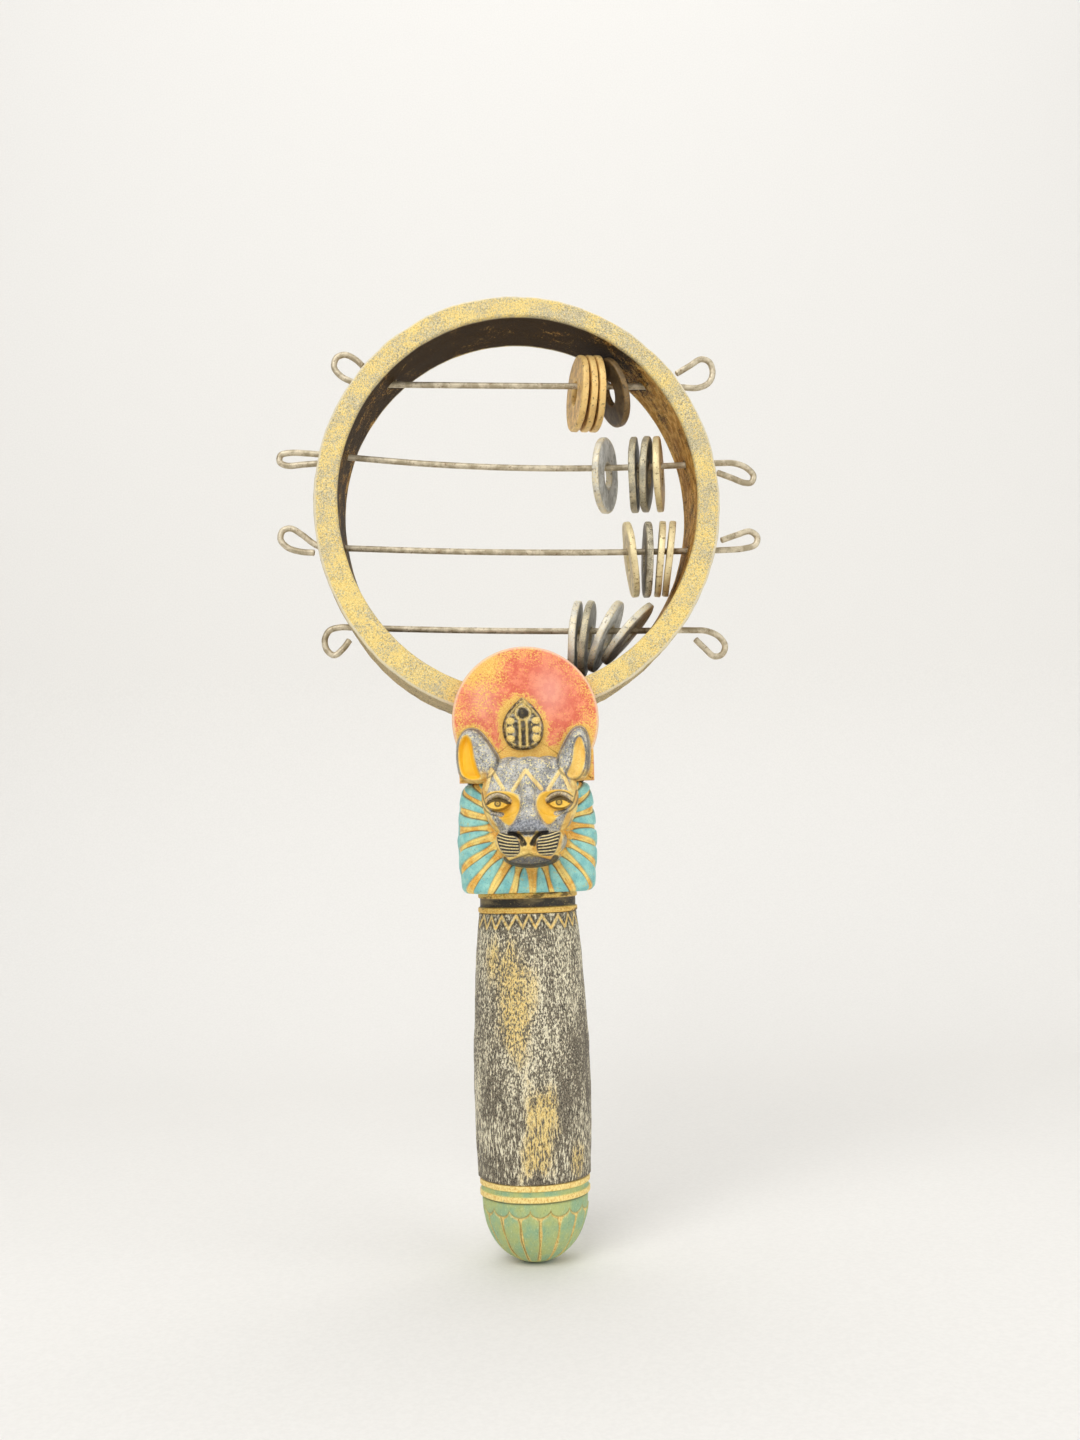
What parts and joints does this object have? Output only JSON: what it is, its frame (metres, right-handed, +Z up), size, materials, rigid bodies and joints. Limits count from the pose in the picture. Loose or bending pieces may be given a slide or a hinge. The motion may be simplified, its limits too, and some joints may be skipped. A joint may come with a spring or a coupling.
{
  "type": "sistrum",
  "caption": "Hand sistrum: a wooden hoop crossed by loop-ended wires with loose metal discs that rattle, on a lioness head with a sun disc and a swelling handle.",
  "frame": {"origin": "middle of the grip, on the handle's axis", "axes": "+Z up the handle towards the hoop, +X to the right seen from the front, -Y the way the face looks"},
  "size_m": [0.1558, 0.0526, 0.3003],
  "materials": {
    "pommel": "sage green paint with worn gold lines",
    "grip": "charcoal paint rubbed through to a pale streaked ground, with gold",
    "collar": "dark paint with two gold rings",
    "mane": "turquoise strands with gold between them",
    "face": "graphite paint with gold rubbed into the hollows",
    "sun_disc": "coral red paint mottled with gold",
    "ornament": "dark paint with gold relief",
    "seat": "worn red paint",
    "hoop": "pale gold brushed over grey, dark inside",
    "tie_rod": "dull steel",
    "wire": "dull galvanised steel",
    "disc_bronze": "worn golden bronze",
    "disc_zinc": "dull zinc grey with worn warm edges",
    "disc_pale": "pale golden zinc"
  },
  "bodies": {
    "frame": {"pommel": "pommel", "grip": "grip", "collar": "collar", "mane": "mane", "lioness_head": "face", "sun_disc": "sun_disc", "sun_ornament": "ornament", "hoop_seat": "seat", "hoop": "hoop", "tie_rod": "tie_rod"},
    "wire_1": {"wire_1": "wire"},
    "disc_1d": {"disc_1d": "disc_bronze"},
    "disc_1c": {"disc_1c": "disc_bronze"},
    "disc_1b": {"disc_1b": "disc_bronze"},
    "disc_1a": {"disc_1a": "disc_bronze"},
    "wire_2": {"wire_2": "wire"},
    "disc_2d": {"disc_2d": "disc_zinc"},
    "disc_2c": {"disc_2c": "disc_zinc"},
    "disc_2b": {"disc_2b": "disc_zinc"},
    "disc_2a": {"disc_2a": "disc_zinc"},
    "wire_3": {"wire_3": "wire"},
    "disc_3d": {"disc_3d": "disc_pale"},
    "disc_3c": {"disc_3c": "disc_pale"},
    "disc_3b": {"disc_3b": "disc_pale"},
    "disc_3a": {"disc_3a": "disc_pale"},
    "wire_4": {"wire_4": "wire"},
    "disc_4d": {"disc_4d": "disc_zinc"},
    "disc_4c": {"disc_4c": "disc_zinc"},
    "disc_4b": {"disc_4b": "disc_zinc"},
    "disc_4a": {"disc_4a": "disc_zinc"}
  },
  "joints": [
    {"name": "wire_1_slide", "type": "slide", "parent": "frame", "child": "wire_1", "axis": [0.9999, 0, -0.0131], "range_m": [-0.0015, 0]},
    {"name": "disc_1d_slide", "type": "slide", "parent": "wire_1", "child": "disc_1d", "axis": [0.9999, 0, -0.0163], "range_m": [-0.0115, 0]},
    {"name": "disc_1c_slide", "type": "slide", "parent": "disc_1d", "child": "disc_1c", "axis": [0.9999, 0, -0.0163], "range_m": [-0.0115, 0]},
    {"name": "disc_1b_slide", "type": "slide", "parent": "disc_1c", "child": "disc_1b", "axis": [0.9999, 0, -0.0163], "range_m": [-0.0115, 0]},
    {"name": "disc_1a_slide", "type": "slide", "parent": "disc_1b", "child": "disc_1a", "axis": [0.9999, 0, -0.0163], "range_m": [-0.0115, 0]},
    {"name": "wire_2_slide", "type": "slide", "parent": "frame", "child": "wire_2", "axis": [0.9995, 0, -0.0308], "range_m": [-0.0015, 0]},
    {"name": "disc_2d_slide", "type": "slide", "parent": "wire_2", "child": "disc_2d", "axis": [0.9988, 0, -0.0486], "range_m": [-0.0185, 0]},
    {"name": "disc_2c_slide", "type": "slide", "parent": "disc_2d", "child": "disc_2c", "axis": [0.9988, 0, -0.0486], "range_m": [-0.0185, 0]},
    {"name": "disc_2b_slide", "type": "slide", "parent": "disc_2c", "child": "disc_2b", "axis": [0.9988, 0, -0.0486], "range_m": [-0.0185, 0]},
    {"name": "disc_2a_slide", "type": "slide", "parent": "disc_2b", "child": "disc_2a", "axis": [0.9988, 0, -0.0486], "range_m": [-0.0185, 0]},
    {"name": "wire_3_slide", "type": "slide", "parent": "frame", "child": "wire_3", "axis": [0.9998, 0, -0.0208], "range_m": [-0.0015, 0]},
    {"name": "disc_3d_slide", "type": "slide", "parent": "wire_3", "child": "disc_3d", "axis": [0.9996, 0, -0.0271], "range_m": [-0.021, 0]},
    {"name": "disc_3c_slide", "type": "slide", "parent": "disc_3d", "child": "disc_3c", "axis": [0.9996, 0, -0.0271], "range_m": [-0.021, 0]},
    {"name": "disc_3b_slide", "type": "slide", "parent": "disc_3c", "child": "disc_3b", "axis": [0.9996, 0, -0.0271], "range_m": [-0.021, 0]},
    {"name": "disc_3a_slide", "type": "slide", "parent": "disc_3b", "child": "disc_3a", "axis": [0.9996, 0, -0.0271], "range_m": [-0.021, 0]},
    {"name": "wire_4_slide", "type": "slide", "parent": "frame", "child": "wire_4", "axis": [0.9998, 0, -0.022], "range_m": [-0.0015, 0]},
    {"name": "disc_4d_slide", "type": "slide", "parent": "wire_4", "child": "disc_4d", "axis": [0.9996, 0, -0.0269], "range_m": [-0.01, 0]},
    {"name": "disc_4c_slide", "type": "slide", "parent": "disc_4d", "child": "disc_4c", "axis": [0.9996, 0, -0.0269], "range_m": [-0.01, 0]},
    {"name": "disc_4b_slide", "type": "slide", "parent": "disc_4c", "child": "disc_4b", "axis": [0.9996, 0, -0.0269], "range_m": [-0.01, 0]},
    {"name": "disc_4a_slide", "type": "slide", "parent": "disc_4b", "child": "disc_4a", "axis": [0.9996, 0, -0.0269], "range_m": [-0.01, 0]}
  ]
}
